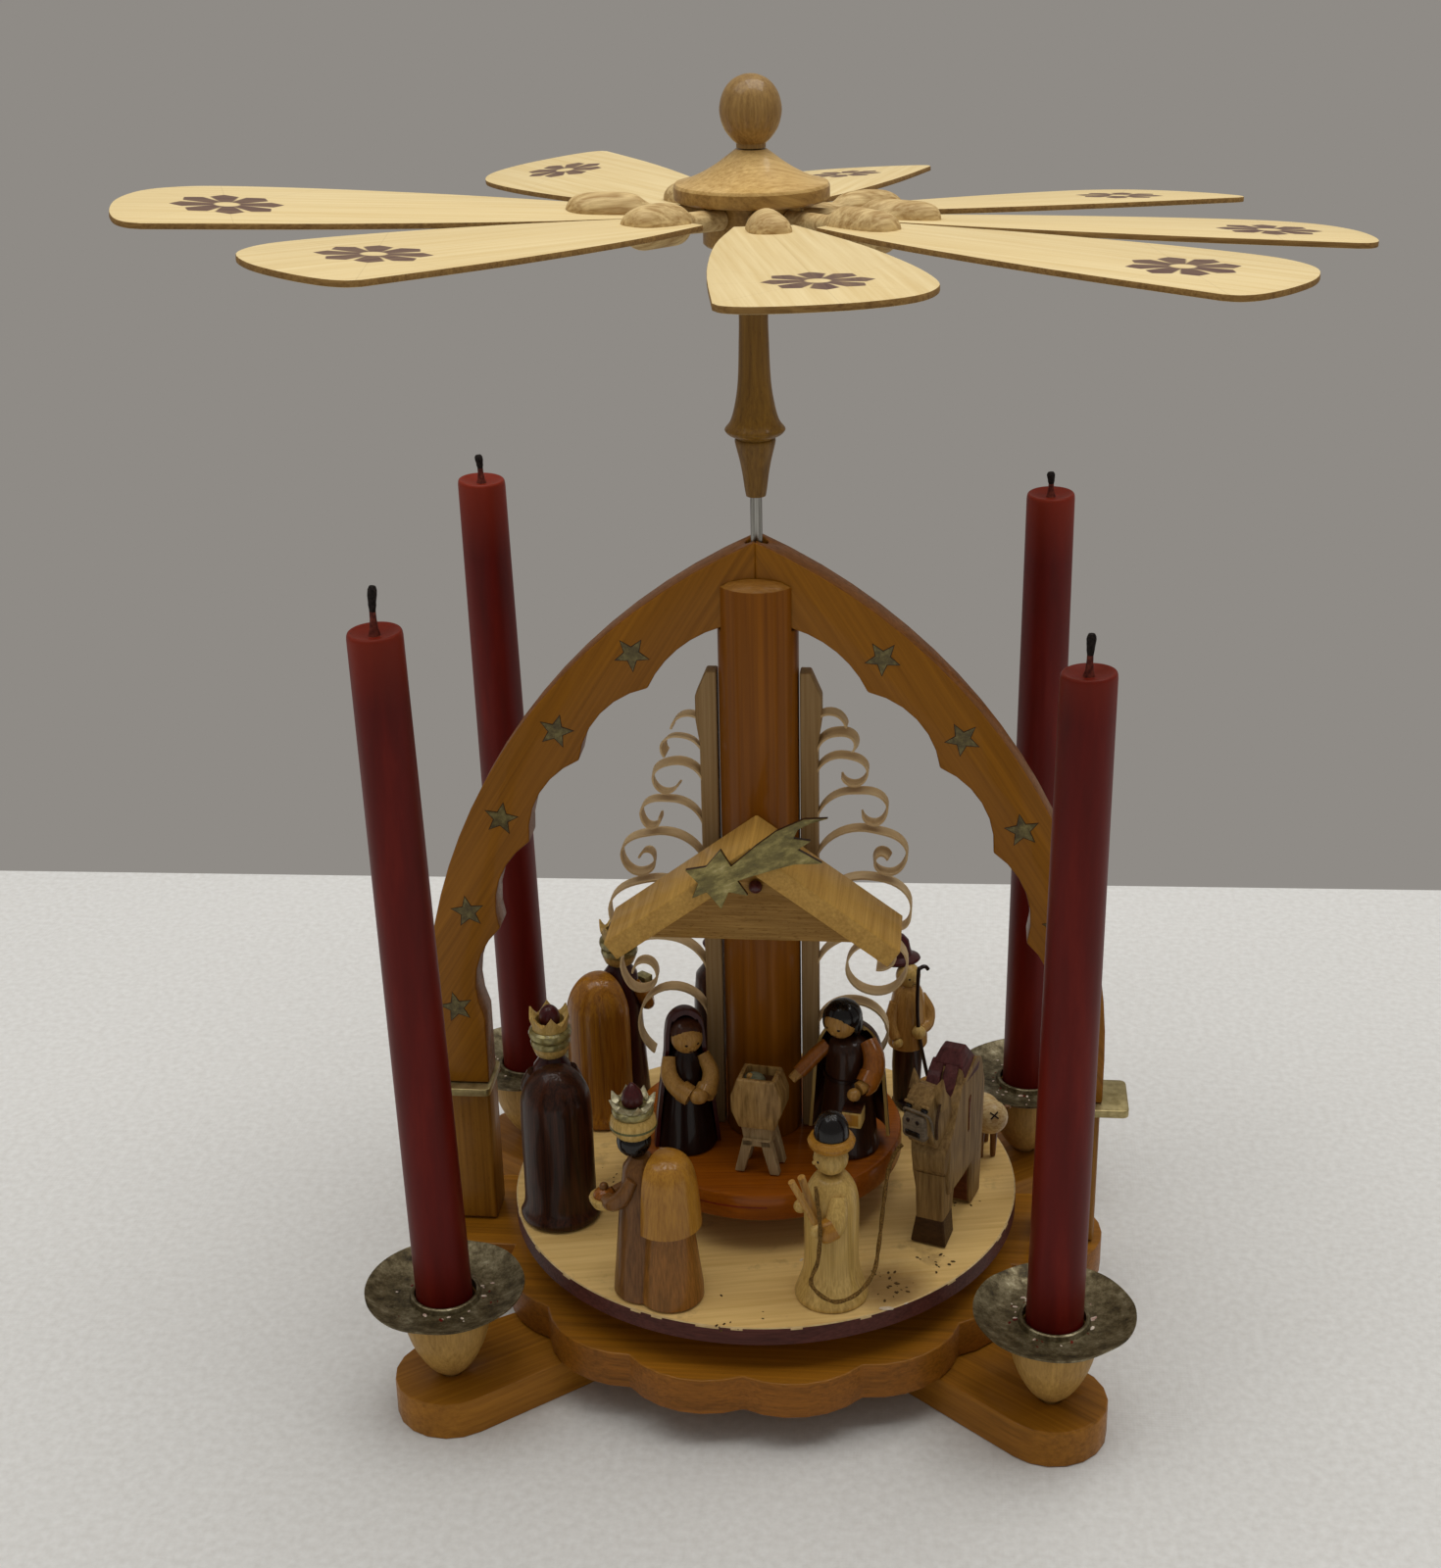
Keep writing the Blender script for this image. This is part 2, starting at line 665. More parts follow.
def build_turntable():
    bottom = PLATE_TOP + TURNTABLE_LIFT
    profile = disc_profile(TURNTABLE_RADIUS, bottom, TURNTABLE_TOP, bored(ROD_RADIUS, FINE), 0.0004)
    turned("turntable", profile, FINE, "pale_birch", ring=True)


def build_stage():
    """Fixed inner platform with the column's socket and the rod's bore."""
    socket = bored(COLUMN_TENON_RADIUS, FINE)
    bore = ROD_RADIUS + ROD_PLAY
    floor = STAGE_TOP - COLUMN_TENON - GAP
    profile = disc_profile(STAGE_RADIUS, STAGE_BOTTOM, STAGE_TOP, bore, 0.0009)[:-1]
    profile += [(bore, floor), (socket, floor), (socket, STAGE_TOP)]
    turned("inner_platform", profile, FINE, "orange_wood", ring=True)


def build_column():
    """Dowel column, slotted over the arch, with a tenon in the stage and a bore for the rod."""
    level, radius = crown_arc()
    crown_top = level + radius
    top = crown_top + COLUMN_CHEEK
    foot = STAGE_TOP + GAP
    bore = ROD_RADIUS + ROD_PLAY
    profile = [(bore, top), (COLUMN_RADIUS * 0.5, top - COLUMN_SHOULDER * 0.15),
               (COLUMN_RADIUS * 0.82, top - COLUMN_SHOULDER * 0.5),
               (COLUMN_RADIUS, top - COLUMN_SHOULDER), (COLUMN_RADIUS, foot),
               (COLUMN_TENON_RADIUS, foot), (COLUMN_TENON_RADIUS, STAGE_TOP - COLUMN_TENON),
               (bore, STAGE_TOP - COLUMN_TENON)]
    column = turned("column", profile, 24, "larch", ring=True)
    slot_floor = level + math.sqrt(radius ** 2 - COLUMN_RADIUS ** 2) - GAP
    half = ARCH_DEPTH / 2 + GAP
    cut(column, block((-0.02, -half, slot_floor), (0.02, half, top + 0.01)), "arch_slot")


# Curl routes in millimetres: (out from the strip's side, up from the strip's foot)
LEFT_CURLS = (
    ((-0.5, 115.2), (4.2, 122.3), (7.4, 118.6)),
    ((-0.5, 109.2), (4.2, 116.0), (10.0, 113.4), (9.2, 110.9)),
    ((-0.5, 99.4), (7.4, 109.0), (12.9, 104.0), (9.1, 100.4), (6.0, 102.8)),
    ((-0.5, 90.3), (8.4, 98.2), (16.2, 93.4), (13.2, 90.3), (11.2, 93.6)),
    ((-0.5, 80.8), (13.2, 88.3), (21.9, 80.8), (16.8, 76.3), (13.2, 79.6), (15.0, 82.8),
     (17.0, 81.0)),
    ((-0.5, 67.6), (15.3, 74.3), (25.9, 64.3), (22.8, 59.0), (18.8, 61.4)),
    ((-0.5, 48.3), (8.9, 57.0), (23.0, 46.0), (18.1, 40.7), (13.6, 45.4), (17.1, 49.6),
     (20.2, 46.2)),
    ((-0.5, 33.0), (8.2, 41.8), (18.9, 31.0), (14.8, 21.8)),
)
RIGHT_CURLS = (
    ((-0.5, 116.6), (4.2, 123.6), (7.4, 120.0)),
    ((-0.5, 111.2), (4.2, 118.0), (10.0, 115.4), (9.2, 113.0)),
    ((-0.5, 102.0), (7.4, 111.6), (12.9, 106.8), (9.1, 103.6), (6.2, 105.8)),
    ((-0.5, 93.5), (9.2, 101.6), (18.1, 96.2), (14.6, 92.6), (11.6, 95.2)),
    ((-0.5, 82.9), (14.4, 90.6), (23.4, 82.8), (18.3, 78.3), (14.8, 81.6), (16.8, 84.4),
     (18.8, 82.8)),
    ((-0.5, 67.1), (13.2, 76.8), (24.8, 67.8), (21.8, 62.0), (17.8, 64.2)),
    ((-0.5, 50.8), (9.4, 59.1), (24.0, 50.2), (15.6, 41.8), (7.6, 50.6), (12.2, 56.2),
     (20.2, 51.4), (15.6, 49.2)),
    ((-0.5, 32.0), (8.2, 39.0), (18.9, 29.6), (14.8, 21.8)),
)


def ribbon_outline(route):
    """Outline of a thin band along a route."""
    centre = smooth(route, 2)
    sides = ([], [])
    for i, point in enumerate(centre):
        ahead = centre[min(i + 1, len(centre) - 1)]
        behind = centre[max(i - 1, 0)]
        along = (ahead - behind).normalized()
        across = Vector((-along.y, along.x)) * CURL_THICK / 2
        sides[0].append(tuple(point + across))
        sides[1].append(tuple(point - across))
    return sides[0] + sides[1][::-1]


def build_strips():
    """Shaved strip on each side of the column, its curls still growing from it. The arch half is
    let out where a long strip's top would reach it."""
    inner = COLUMN_RADIUS + GAP
    foot = STAGE_TOP + GAP
    side_x = inner + STRIP_WIDTH
    top_x = inner + STRIP_TOP_WIDTH
    half = STRIP_DEPTH / 2
    shape = [(inner, foot), (side_x, foot), (side_x, foot + STRIP_HEIGHT * 0.85),
             (top_x, foot + STRIP_HEIGHT * 0.90), (top_x, foot + STRIP_HEIGHT * 0.95),
             (inner + STRIP_WIDTH * 0.6, foot + STRIP_HEIGHT), (inner, foot + STRIP_HEIGHT)]
    unit = STRIP_HEIGHT / 0.135 * MM
    for word, side, curls in (("left", -1, LEFT_CURLS), ("right", 1, RIGHT_CURLS)):
        outline = shape if side > 0 else mirrored(shape)
        strip = prism("curl_strip_" + word, [outline], -half, half, "shaving", True)
        for number, curl in enumerate(curls, 1):
            route = [(side * (side_x + out * MM), foot + up * unit) for out, up in curl]
            join(strip, prism_mesh([ribbon_outline(route)], -half * 0.96, half * 0.96, True),
                 "curl_%s_%d" % (word, number))
        near, far = side * (inner - GAP), side * (top_x + GAP)
        cut(bpy.data.objects["arch_" + word],
            block((min(near, far), -half - GAP, foot),
                  (max(near, far), half + GAP, foot + STRIP_HEIGHT + GAP)), "strip_notch_" + word)


# Stable roof

def build_roof():
    """Two mitred boards, the flecked gable between them and a peg in its middle."""
    slope = math.radians(ROOF_SLOPE)
    ridge = STAGE_TOP + ROOF_RIDGE
    seam = GAP / 2
    rear = -(COLUMN_RADIUS + GAP)
    eave = ridge - ROOF_HALF_SPAN * math.tan(slope)
    inner_eave = (ROOF_HALF_SPAN - ROOF_THICK * math.sin(slope), eave - ROOF_THICK * math.cos(slope))
    underside = ridge - ROOF_THICK / math.cos(slope)
    board = [(seam, underside), inner_eave, (ROOF_HALF_SPAN, eave), (seam, ridge)]
    for word, shape in (("left", mirrored(board)), ("right", board)):
        prism("roof_board_" + word, [shape], ROOF_FRONT, rear, "beech", True)
    sill = ridge - GABLE_SILL - GAP
    room = GAP / math.cos(slope)
    reach = min((underside - room - sill) / math.tan(slope), inner_eave[0] - GAP)
    corner = underside - room - reach * math.tan(slope)
    gable_shape = [(-reach, sill), (reach, sill), (reach, corner), (0, underside - room),
                   (-reach, corner)]
    gable = prism("gable_board", [gable_shape], rear - GABLE_DEPTH, rear, "beech", True)
    face = rear - GABLE_DEPTH
    peg_z = sill + PEG_HEIGHT
    depth = GABLE_DEPTH / 2
    hole = bored(PEG_SHANK_RADIUS)
    cut(gable, rod_between((0, face - 0.01, peg_z), (0, face + depth + GAP, peg_z), hole, hole),
        "peg_hole")
    profile = [(0, PEG_RADIUS * 1.3), (PEG_RADIUS * 0.7, PEG_RADIUS), (PEG_RADIUS, PEG_RADIUS * 0.4),
               (PEG_RADIUS, 0), (PEG_SHANK_RADIUS, 0), (PEG_SHANK_RADIUS, -depth), (0, -depth)]
    turn = Matrix.Translation((0, face - GAP, peg_z)) @ Matrix.Rotation(math.pi / 2, 4, "X")
    turned("gable_peg", profile, 12, "plum_stain", turn=turn)


def build_comet():
    """Five-pointed star with a forked tail, sawn from one thin plate, on the roof's front."""
    unit = COMET_LENGTH / 36.3
    outline = [(-7.2, 0.3), (-11.0, -4.6), (-16.3, -5.6), (-13.0, -9.2), (-14.7, -13.4),
               (-10.9, -11.6), (-7.3, -16.2), (-5.3, -11.4), (-0.4, -12.3), (-3.1, -8.2),
               (1.4, -6.6), (6.4, -4.8), (11.4, -3.2), (18.5, -2.8), (12.3, 0.9), (15.6, 3.3),
               (11.2, 3.9), (12.4, 6.4), (15.6, 8.2), (20.0, 9.6), (13.9, 9.2), (7.0, 5.8),
               (2.0, 1.8), (-4.6, -4.3)]
    centre_z = STAGE_TOP + ROOF_RIDGE - 0.0003
    shape = [(x * unit, centre_z + z * unit) for x, z in reversed(outline)]
    back = ROOF_FRONT - GAP
    prism("comet_star", [shape], back - COMET_THICK, back, "gold_green", True)


# Candles

def build_candle(word):
    """Turned cup on the arm, brass drip pan on the cup, candle with its wick in both."""
    place = Matrix.Translation((*CANDLE_PLACES[word], 0))
    base = ARM_THICK + GAP
    floor = CUP_TOP - CUP_BORE_DEPTH
    egg = [(0.958, 0.0), (1.0, -0.05), (0.965, -0.28), (0.80, -0.58), (0.52, -0.86), (0.26, -1.0)]
    cup = [(0, floor), (CUP_BORE_RADIUS, floor), (CUP_BORE_RADIUS, CUP_TOP)]
    cup += [(r * CUP_RADIUS, CUP_TOP + z * CUP_HEIGHT) for r, z in egg]
    cup += [(CUP_TENON_RADIUS, base), (CUP_TENON_RADIUS, ARM_THICK - CUP_TENON),
            (0, ARM_THICK - CUP_TENON)]
    low = CUP_TOP + GAP
    hole = CUP_BORE_RADIUS + 0.0001
    lip = hole + 2 * PAN_SHEET
    pan = [(hole, low + PAN_COLLAR + PAN_SHEET), (lip, low + PAN_COLLAR + PAN_SHEET),
           (lip, low + PAN_SHEET), (PAN_RADIUS * 0.70, low + PAN_SHEET * 1.8),
           (PAN_RADIUS, low + PAN_HEIGHT), (PAN_RADIUS, low + PAN_HEIGHT - PAN_SHEET),
           (PAN_RADIUS * 0.72, low + PAN_SHEET * 0.7), (lip, low), (hole, low)]
    length = CANDLE_LENGTHS[word]
    wick_top = length + WICK_LENGTHS[word]
    lean = Matrix.Shear("XY", 4, (CANDLE_LEANS[word], 0.0))
    foot = Matrix.Translation((0, 0, floor + GAP))
    candle = [(0, wick_top), (WICK_RADIUS * 0.7, wick_top),
              (WICK_RADIUS, length - 0.0004), (CANDLE_TOP_RADIUS - 0.0012, length),
              (CANDLE_TOP_RADIUS, length - 0.0012), (CANDLE_RADIUS, 0), (0, 0)]
    turned("candle_cup_" + word, cup, SMALL, "beech", turn=place)
    turned("drip_pan_" + word, pan, ROUND, "brass", ring=True, turn=place)
    turned("candle_" + word, candle, SMALL, "red_wax", turn=place @ foot @ lean)


# Blade wheel

def build_spindle():
    """Turned spindle on the rod's upper end: fine tip, bead, long waist and cove under the hub."""
    shape = [(1.10, 1.0), (0.80, 0.955), (0.57, 0.875), (0.477, 0.745), (0.49, 0.627),
             (0.543, 0.469), (0.662, 0.372), (0.808, 0.31), (1.0, 0.276), (0.874, 0.256),
             (0.62, 0.242), (0.676, 0.226), (0.53, 0.151), (0.437, 0.089), (0.38, 0.036)]
    profile = [(0, SPINDLE_TOP + SPINDLE_TENON), (SPINDLE_TENON_RADIUS, SPINDLE_TOP + SPINDLE_TENON),
               (SPINDLE_TENON_RADIUS, SPINDLE_TOP)]
    profile += scaled(shape, SPINDLE_BEAD_RADIUS, SPINDLE_LENGTH, SPINDLE_BOTTOM)
    socket = bored(ROD_RADIUS, ROUND)
    profile += [(SPINDLE_TIP_RADIUS, SPINDLE_BOTTOM), (socket, SPINDLE_BOTTOM),
                (socket, ROD_TOP + GAP), (0, ROD_TOP + GAP)]
    turned("wheel_spindle", profile, ROUND, "beech")


def build_hub():
    """Hub: drum with nine blade holes, overhanging rim and hollow-sided cap."""
    rim_top = HUB_RIM_BOTTOM + HUB_RIM_THICK
    top_hole = bored(FINIAL_TENON_RADIUS, 3 * WHEEL_PLACES)
    low_hole = bored(SPINDLE_TENON_RADIUS, 3 * WHEEL_PLACES)
    cap = [(0.194, 1.0), (0.387, 0.76), (0.58, 0.48), (0.677, 0.30), (0.96, 0.02)]
    profile = [(0, HUB_TOP - FINIAL_TENON), (top_hole, HUB_TOP - FINIAL_TENON), (top_hole, HUB_TOP)]
    profile += scaled(cap, HUB_RIM_RADIUS, HUB_CAP_HEIGHT, rim_top)
    profile += [(HUB_RIM_RADIUS, rim_top - 0.0006), (HUB_RIM_RADIUS, HUB_RIM_BOTTOM + 0.0006),
                (HUB_RIM_RADIUS - 0.0006, HUB_RIM_BOTTOM), (HUB_DRUM_RADIUS, HUB_RIM_BOTTOM),
                (HUB_DRUM_RADIUS, HUB_BOTTOM + 0.0005), (HUB_DRUM_RADIUS - 0.0005, HUB_BOTTOM),
                (low_hole, HUB_BOTTOM), (low_hole, SPINDLE_TOP + SPINDLE_TENON + GAP),
                (0, SPINDLE_TOP + SPINDLE_TENON + GAP)]
    hub = turned("wheel_hub", profile, 3 * WHEEL_PLACES, "beech")
    hole = bored(PIN_RADIUS, 8)
    for place in range(WHEEL_PLACES):
        along = wheel_turn(place) @ Vector((1, 0, 0))
        centre = Vector((0, 0, BLADE_LEVEL))
        cut(hub, rod_between(centre + along * (PIN_START - GAP), centre + along * HUB_RIM_RADIUS,
                             hole, hole, 8), "blade_hole_%d" % place)


def build_finial():
    """Egg-shaped ball on a short neck, its tenon in the hub."""
    base = HUB_TOP + GAP
    shape = [(0.0, 1.0), (0.30, 0.985), (0.62, 0.91), (0.87, 0.77), (1.0, 0.56), (0.98, 0.42),
             (0.86, 0.26), (0.66, 0.13)]
    profile = scaled(shape, FINIAL_RADIUS, FINIAL_HEIGHT, base)
    profile += [(FINIAL_NECK_RADIUS, base + FINIAL_HEIGHT * 0.06), (FINIAL_NECK_RADIUS, base),
                (FINIAL_TENON_RADIUS, base), (FINIAL_TENON_RADIUS, base - FINIAL_TENON + 2 * GAP),
                (0, base - FINIAL_TENON + 2 * GAP)]
    turned("ball_finial", profile, 16, "beech")


def wheel_turn(place):
    """Direction of one of the hub's places: its azimuth and its rise on the leaning wheel, each
    off by what the drill strayed."""
    azimuth = WHEEL_FIRST_AZIMUTH + 360 / WHEEL_PLACES * place + HOLE_SWINGS[place]
    lean = WHEEL_LEAN * math.cos(math.radians(azimuth - WHEEL_LOW_AZIMUTH))
    rise = HOLE_RISES[place] - lean
    return turn_z(azimuth) @ Matrix.Rotation(math.radians(-rise), 4, "Y")


# Eight blades by wheel place, counted anticlockwise from the right: the pitch of each in degrees
# and how much it is longer or shorter than the others
BLADES = (("right", 0, 3.0, -0.0070), ("right_back", 1, 3.0, -0.0010),
          ("back_right", 2, 3.0, -0.0035), ("back_left", 3, 5.5, -0.0025),
          ("left_back", 5, 3.0, -0.0045), ("left_front", 6, 2.0, 0.0),
          ("front", 7, 0.0, 0.0010), ("right_front", 8, 0.5, 0.0))


def blade_outline(length):
    """Paddle in its own frame: X out from the hub, Y across."""
    edge = [(0.0, 0.16), (0.10, 0.23), (0.34, 0.39), (0.62, 0.52), (0.86, 0.48), (0.97, 0.18),
            (1.0, -0.11), (0.96, -0.39), (0.86, -0.50), (0.58, -0.48), (0.26, -0.34), (0.0, -0.16)]
    points = [(BLADE_START + x * length, y * BLADE_WIDTH) for x, y in edge]
    return [tuple(p) for p in reversed(smooth(points, 2))]


def build_blades(rotor):
    """Each blade is glued into the slotted end of a turned holder, whose pin twists in the hub."""
    knuckle_end = KNUCKLE_START + KNUCKLE_LENGTH
    neck_start = HUB_DRUM_RADIUS + GAP * 2
    profile = [(0, knuckle_end), (KNUCKLE_RADIUS * 0.70, knuckle_end),
               (KNUCKLE_RADIUS * 0.94, knuckle_end - 0.0030),
               (KNUCKLE_RADIUS, knuckle_end - 0.0080), (KNUCKLE_RADIUS * 0.88, KNUCKLE_START + 0.0022),
               (NECK_RADIUS, KNUCKLE_START - 0.0015), (NECK_RADIUS, neck_start),
               (PIN_RADIUS, neck_start), (PIN_RADIUS, PIN_START), (0, PIN_START)]
    lay = Matrix.Rotation(math.pi / 2, 4, "Y")
    for word, place, pitch, extra in BLADES:
        turn = wheel_turn(place) @ Matrix.Rotation(math.radians(-pitch), 4, "X")
        axis = empty("axis_" + word, (0, 0, BLADE_LEVEL), turn, rotor)
        outline = blade_outline(BLADE_LENGTH + extra)
        blade = prism("blade_" + word, [outline], -BLADE_THICK / 2, BLADE_THICK / 2, "pale_birch",
                      parent=axis)
        join(blade, turned_mesh(profile, 8, turn=lay), "holder_" + word)


# Figures. Each stands in its own frame with +X ahead and +Y to its left

def stand(name, radius, azimuth, heading, floor, parent=None):
    angle = math.radians(azimuth)
    place = (radius * math.cos(angle), radius * math.sin(angle), floor + GAP)
    return empty("place_" + name, place, turn_z(heading), parent)


KING_SHAPE = [(0.0, 1.0), (0.28, 0.99), (0.37, 0.93), (0.72, 0.965), (0.67, 0.865),
              (0.52, 0.845), (0.50, 0.79), (0.32, 0.76), (0.66, 0.70), (0.78, 0.45), (1.0, 0.0),
              (0.0, 0.0)]


def arm(body, shoulder, elbow, hand, radius, name):
    """Sleeve in two tapered runs with a round hand."""
    join(body, rod_between(shoulder, elbow, radius, radius * 1.05, 6), name + "_upper")
    join(body, rod_between(elbow, hand, radius * 1.02, radius * 0.9, 6), name + "_lower")
    join(body, ball(hand, radius * 0.95, segments=6), name + "_hand")


def cape(name, height, radius, setback, opening, finish, parent):
    """Half shell like a thimble, open at the front, hung behind the wearer."""
    inner = radius - CAPE_THICK
    dome = [(0.0, 1.0), (0.36, 0.985), (0.66, 0.93), (0.87, 0.84), (0.95, 0.72), (0.97, 0.30),
            (1.0, 0.10), (1.04, 0.04), (1.0, 0.0)]
    profile = scaled(dome, radius, height)
    hollow = [(r * inner, z * (height - CAPE_THICK)) for r, z in dome[1:6]]
    profile += [(inner * 0.97, 0.0)] + hollow[::-1] + [(0.0, height - CAPE_THICK)]
    shift = Matrix.Translation((-setback, 0, 0))
    shell = turned(name, profile, SMALL, finish, parent, turn=shift)
    far = radius * 3
    cut(shell, block((-setback + opening, -far, -0.01), (far, far, height + 0.01)), name + "_front")


def build_kings(rotor):
    """Two kings seen from behind, each in a long cape with a gift in his hands."""
    for word, inset, azimuth, heading, cape_finish, setback, opening in (
            ("left", KING_LEFT_INSET, -164.2, 106.0, "dark_stain", CAPE_SETBACK,
             KING_LEFT_OPENING),
            ("back", KING_BACK_INSET, 140.1, 53.0, "ochre_stain", BACK_KING_SETBACK,
             KING_BACK_OPENING)):
        place = stand("king_" + word, TURNTABLE_RADIUS - inset, azimuth, heading, TURNTABLE_TOP,
                      rotor)
        body = turned("king_" + word, scaled(KING_SHAPE, KING_RADIUS, KING_HEIGHT), SMALL,
                      "plum_stain", place)
        for side in (-1, 1):
            arm(body, (KING_RADIUS * 0.1, side * KING_RADIUS * 0.62, KING_HEIGHT * 0.66),
                (KING_RADIUS * 0.55, side * KING_RADIUS * 0.75, KING_HEIGHT * 0.53),
                (KING_RADIUS * 1.1, side * KING_RADIUS * 0.28, KING_HEIGHT * 0.55),
                KING_RADIUS * 0.22, "king_arm_%s_%d" % (word, side))
        gift = KING_RADIUS * 0.95
        join(body, block((gift, -GIFT_WIDTH / 2, KING_HEIGHT * 0.57),
                         (gift + GIFT_DEPTH, GIFT_WIDTH / 2, KING_HEIGHT * 0.63)), "gift_" + word)
        cape("king_%s_cape" % word, CAPE_HEIGHT, CAPE_RADIUS, setback, opening, cape_finish, place)


def build_moor_king(rotor):
    """King with turban, spiky crown and cone cap, a long train behind and a short bell cape."""
    place = stand("moor_king", TURNTABLE_RADIUS - MOOR_INSET, -112.5, 158.0, TURNTABLE_TOP, rotor)
    shape = [(0.0, 0.665), (0.30, 0.66), (0.55, 0.61), (0.74, 0.35), (0.97, 0.0), (0.0, 0.0)]
    head = [(0.0, 1.0), (0.12, 0.98), (0.32, 0.905), (0.62, 0.94), (0.52, 0.855), (0.69, 0.83),
            (0.60, 0.765), (0.50, 0.75), (0.46, 0.70), (0.30, 0.67), (0.28, 0.60), (0.0, 0.60)]
    body = turned("moor_king", scaled(shape, MOOR_RADIUS, MOOR_HEIGHT), SMALL, "brown_stain", place,
                  turn=Matrix.Translation((MOOR_SKIRT_AHEAD, 0, 0)))
    join(body, turned_mesh(scaled(head, MOOR_RADIUS, MOOR_HEIGHT), SMALL,
                           turn=Matrix.Translation((MOOR_HEAD_AHEAD, 0, 0))), "head")
    train = [(0.0, 0.67), (0.36, 0.655), (0.60, 0.58), (0.74, 0.35), (1.0, 0.05), (1.0, 0.0), (0, 0)]
    behind = Matrix.Translation((MOOR_SKIRT_AHEAD - MOOR_TRAIN_SETBACK, 0, 0))
    join(body, turned_mesh(scaled(train, MOOR_RADIUS, MOOR_HEIGHT), SMALL, turn=behind), "train")
    hand = (MOOR_SKIRT_AHEAD + MOOR_RADIUS * 1.15, MOOR_RADIUS * 0.3, MOOR_HEIGHT * 0.43)
    for side in (-1, 1):
        arm(body, (MOOR_SKIRT_AHEAD, side * MOOR_RADIUS * 0.48, MOOR_HEIGHT * 0.57),
            (MOOR_SKIRT_AHEAD + MOOR_RADIUS * 0.5, side * MOOR_RADIUS * 0.62, MOOR_HEIGHT * 0.45),
            hand, MOOR_RADIUS * 0.21, "moor_arm_%d" % side)
    bowl = [(0.0, 0.70), (0.5, 0.75), (0.9, 0.55), (1.0, 0.0), (0.75, -0.60), (0.0, -0.80)]
    join(body, turned_mesh(scaled(bowl, BOWL_RADIUS, BOWL_RADIUS), 12,
                           turn=Matrix.Translation(hand)), "gift_bowl")
    outer = [(0.0, 1.0), (0.42, 0.975), (0.72, 0.88), (0.88, 0.70), (0.97, 0.40), (1.04, 0.0)]
    inner = SHOULDER_CAPE_RADIUS - CAPE_THICK
    low = MOOR_HEIGHT * 0.67 + GAP + CAPE_THICK - SHOULDER_CAPE_LENGTH
    profile = scaled(outer, SHOULDER_CAPE_RADIUS, SHOULDER_CAPE_LENGTH, low)
    hollow = scaled(outer, inner, SHOULDER_CAPE_LENGTH - CAPE_THICK, low)
    shell = turned("moor_king_cape", profile + hollow[::-1], SMALL, "pale_figure", place,
                   turn=Matrix.Translation((-MOOR_CAPE_SETBACK, 0, 0)))
    far = SHOULDER_CAPE_RADIUS * 3
    cut(shell, block((-GAP, -far, 0.0), (far, far, MOOR_HEIGHT)), "cape_front")


def build_servant(rotor):
    """Plain cloaked figure at the back of the turntable."""
    place = stand("servant", TURNTABLE_RADIUS - SERVANT_INSET, 107.5, 17.5, TURNTABLE_TOP, rotor)
    shape = [(0.0, 1.0), (0.24, 0.985), (0.43, 0.90), (0.62, 0.85), (0.38, 0.82), (0.30, 0.76),
             (0.54, 0.735), (0.86, 0.66), (0.93, 0.52), (0.94, 0.20), (1.0, 0.0), (0.0, 0.0)]
    body = turned("servant", scaled(shape, CAPE_RADIUS * 0.93, SHEPHERD_HEIGHT), SMALL, "dark_stain",
                  place)
    tray = (CAPE_RADIUS * 1.2, 0, SHEPHERD_HEIGHT * 0.52)
    for side in (-1, 1):
        arm(body, (CAPE_RADIUS * 0.1, side * CAPE_RADIUS * 0.72, SHEPHERD_HEIGHT * 0.63),
            (CAPE_RADIUS * 0.6, side * CAPE_RADIUS * 0.75, SHEPHERD_HEIGHT * 0.50),
            (tray[0], side * CAPE_RADIUS * 0.22, tray[2]), CAPE_RADIUS * 0.17, "servant_arm_%d" % side)


def build_leader(rotor):
    """Camel leader in a pale robe, brimmed cap, stick over one arm and the lead in his hand."""
    place = stand("camel_leader", TURNTABLE_RADIUS - LEADER_INSET, -67.9, -157.9, TURNTABLE_TOP,
                  rotor)
    shape = [(0.0, 1.0), (0.26, 0.985), (0.46, 0.92), (0.50, 0.855), (0.62, 0.85), (0.60, 0.79),
             (0.46, 0.76), (0.43, 0.70), (0.32, 0.665), (0.54, 0.645), (0.73, 0.56), (0.74, 0.16),
             (0.86, 0.08), (1.0, 0.0), (0.0, 0.0)]
    body = turned("camel_leader", scaled(shape, LEADER_RADIUS, LEADER_HEIGHT), SMALL, "pale_figure",
                  place)
    shoulder = (0.0, LEADER_RADIUS * 0.56, LEADER_HEIGHT * 0.58)
    elbow = (LEADER_RADIUS * 0.15, LEADER_RADIUS * 0.80, LEADER_HEIGHT * 0.46)
    arm(body, shoulder, elbow, leader_hand(), LEADER_RADIUS * 0.20, "leader_arm")
    hand = Vector(leader_hand())
    stick = rod_between(hand + Vector((-0.0015, 0.0, -0.0020)), hand + Vector((0.0068, 0, 0.0165)),
                        STICK_RADIUS, STICK_RADIUS, 8)
    join(body, stick, "stick")


def leader_hand():
    """Centre of the leader's left hand in his own frame."""
    return (LEADER_RADIUS * 0.66, LEADER_RADIUS * 0.76, LEADER_HEIGHT * 0.46)


